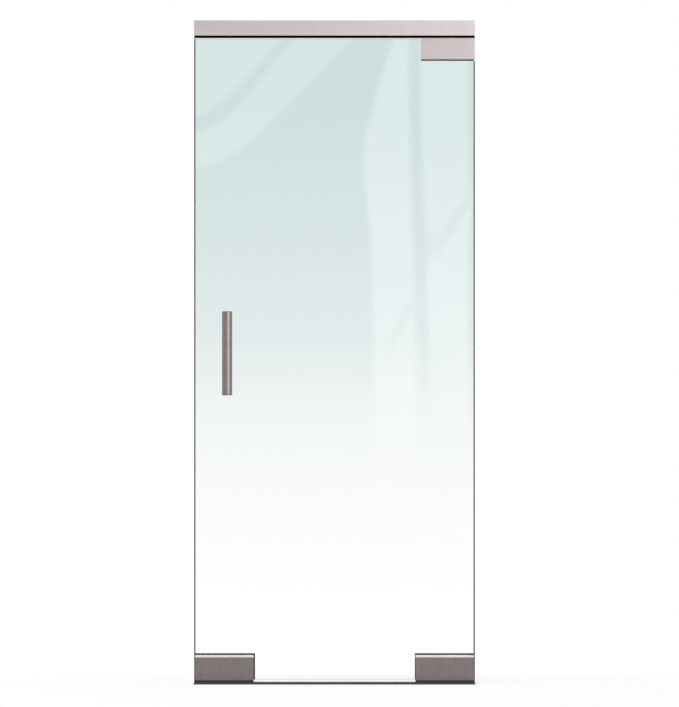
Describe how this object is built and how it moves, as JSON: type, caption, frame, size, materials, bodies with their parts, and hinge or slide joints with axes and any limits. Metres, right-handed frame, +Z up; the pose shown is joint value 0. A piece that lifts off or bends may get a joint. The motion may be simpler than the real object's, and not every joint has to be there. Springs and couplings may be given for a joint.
{
  "type": "frameless glass door",
  "caption": "Frameless glass door leaf in steel corner patches, hung on pivots between a slim header and a threshold, with tubular pulls, a corner lock and a floor closer.",
  "frame": {"origin": "middle of the threshold's underside, at floor level, in the glass's mid-plane", "axes": "+Z up, front faces -Y, +X towards the pivot edge of the leaf"},
  "size_m": [0.914, 0.158, 2.2165],
  "materials": {
    "steel_light": "satin brushed",
    "steel_dark": "brushed",
    "black_anodised": "black anodised",
    "aluminium": "mill",
    "machined_steel": "machined",
    "cast_iron": "cast",
    "galvanised": "galvanised",
    "brass": "machined",
    "glass": "clear, ground edges",
    "gasket": "matte",
    "brush": "brush pile",
    "nylon": "matte"
  },
  "bodies": {
    "frame": {"header_channel": "aluminium", "header_front_cladding": "steel_light", "header_rear_cladding": "steel_light", "header_soffit": "aluminium", "header_left_cap": "steel_light", "header_right_cap": "steel_light", "header_cap_screws": "machined_steel", "front_brush_seal": "brush", "rear_brush_seal": "brush", "top_pivot_housing": "machined_steel", "top_pivot_pin": "machined_steel", "top_pivot_retract_screw": "machined_steel", "top_pivot_screws": "machined_steel", "threshold": "black_anodised", "threshold_screws": "machined_steel", "closer_box": "galvanised", "closer_body": "cast_iron", "closer_lid": "cast_iron", "closer_lid_screws": "machined_steel", "closer_nuts": "machined_steel", "closer_valves": "brass", "bolt_keeper": "machined_steel"},
    "leaf": {"top_front_cover": "steel_light", "top_rear_cover": "steel_light", "bottom_front_cover": "steel_dark", "bottom_rear_cover": "steel_dark", "lock_front_cover": "steel_dark", "lock_rear_cover": "steel_dark", "lock_rosette": "steel_dark", "front_pull_tube": "steel_dark", "front_pull_caps": "steel_dark", "front_pull_posts": "steel_dark", "rear_pull_tube": "steel_dark", "rear_pull_caps": "steel_dark", "rear_pull_posts": "steel_dark", "bottom_front_clamp": "aluminium", "bottom_rear_clamp": "aluminium", "top_front_clamp": "aluminium", "top_rear_clamp": "aluminium", "lock_front_clamp": "aluminium", "lock_rear_clamp": "aluminium", "closer_spindle": "machined_steel", "bottom_block": "machined_steel", "bottom_clamp_screws": "machined_steel", "top_block": "machined_steel", "top_clamp_screws": "machined_steel", "lock_case": "machined_steel", "lock_clamp_screws": "machined_steel", "pull_studs": "machined_steel", "glass_panel": "glass", "bottom_gaskets": "gasket", "top_gaskets": "gasket", "lock_gaskets": "gasket", "pull_washers": "gasket", "edge_seals": "gasket", "top_bush": "nylon", "pull_bushes": "nylon"},
    "bolt": {"lock_bolt": "machined_steel"},
    "turn": {"lock_pinion": "machined_steel", "thumb_turn": "steel_dark"}
  },
  "joints": [
    {"name": "leaf_swing", "type": "hinge", "parent": "frame", "child": "leaf", "pos_m": [0.388, 0, 0], "axis": [0, 0, 1], "range_deg": [-90, 90], "stiffness_Nm_per_rad": 15},
    {"name": "thumb_turn_spin", "type": "hinge", "parent": "leaf", "child": "turn", "pos_m": [-0.39195, 0, 0.03], "axis": [0, -1, 0], "range_deg": [0, 90]},
    {"name": "bolt_throw", "type": "slide", "parent": "leaf", "child": "bolt", "axis": [0, 0, -1], "range_m": [0, 0.0189]}
  ],
  "couplings": [
    {"joint": "bolt_throw", "follows": "thumb_turn_spin", "m_per_rad": 0.012}
  ]
}
